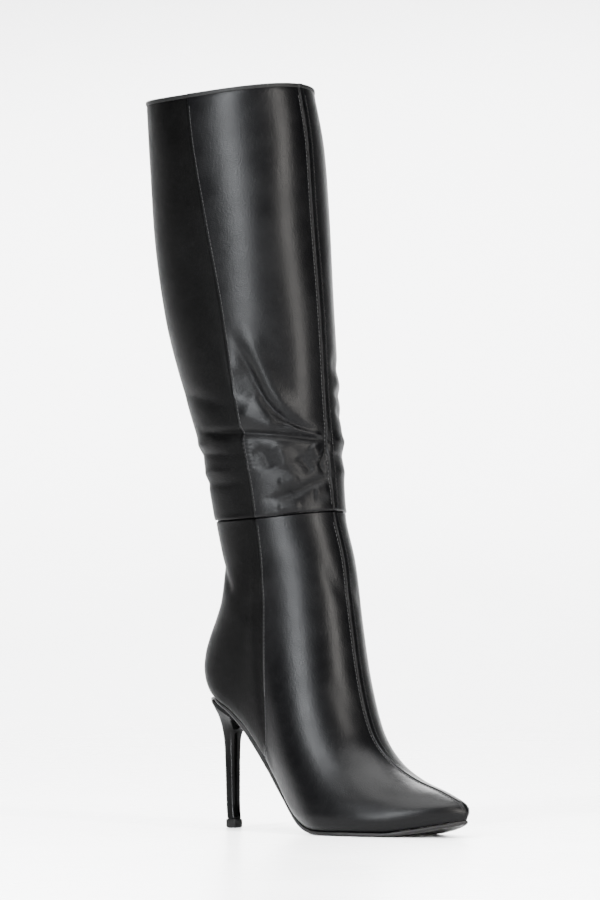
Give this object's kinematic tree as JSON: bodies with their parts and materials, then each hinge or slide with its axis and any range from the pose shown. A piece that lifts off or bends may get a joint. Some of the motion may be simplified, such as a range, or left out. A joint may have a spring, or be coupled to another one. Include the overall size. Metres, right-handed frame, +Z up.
{
  "type": "knee-high boot",
  "caption": "Right knee-high pointed-toe boot with a slim high heel, gathered ankle, raised front seam and an inner-side zip with a swinging pull tab.",
  "frame": {"origin": "centre of the boot's plan box, on the floor under it", "axes": "+Z up the shaft, +X towards the toe, +Y to the inner (medial) side with the zip"},
  "size_m": [0.2628, 0.1122, 0.5145],
  "materials": {
    "leather": "smooth semi-gloss black, fine grain",
    "leather_edge": "folded black edge tape",
    "sole": "black moulded sole, satin",
    "insole": "matte dark sock lining",
    "heel": "glossy black heel cover",
    "top_lift": "hard black top lift, matte",
    "tape": "woven black zip tape and coil",
    "metal": "dark metal zip slider and pull"
  },
  "bodies": {
    "boot": {"outsole": "sole", "upper": "leather", "insole": "insole", "heel": "heel", "top_lift": "top_lift", "shaft": "leather", "collar_binding": "leather_edge", "zip_tape_front": "tape", "zip_tape_back": "tape", "zip_chain": "tape", "zip_slider": "metal"},
    "pull_tab": {"zip_pull": "metal"}
  },
  "joints": [
    {"name": "pull_swing", "type": "hinge", "parent": "boot", "child": "pull_tab", "pos_m": [-0.02938, 0.05153, 0.38209], "axis": [0.9481, -0.318, 0], "range_deg": [0, 165]}
  ]
}
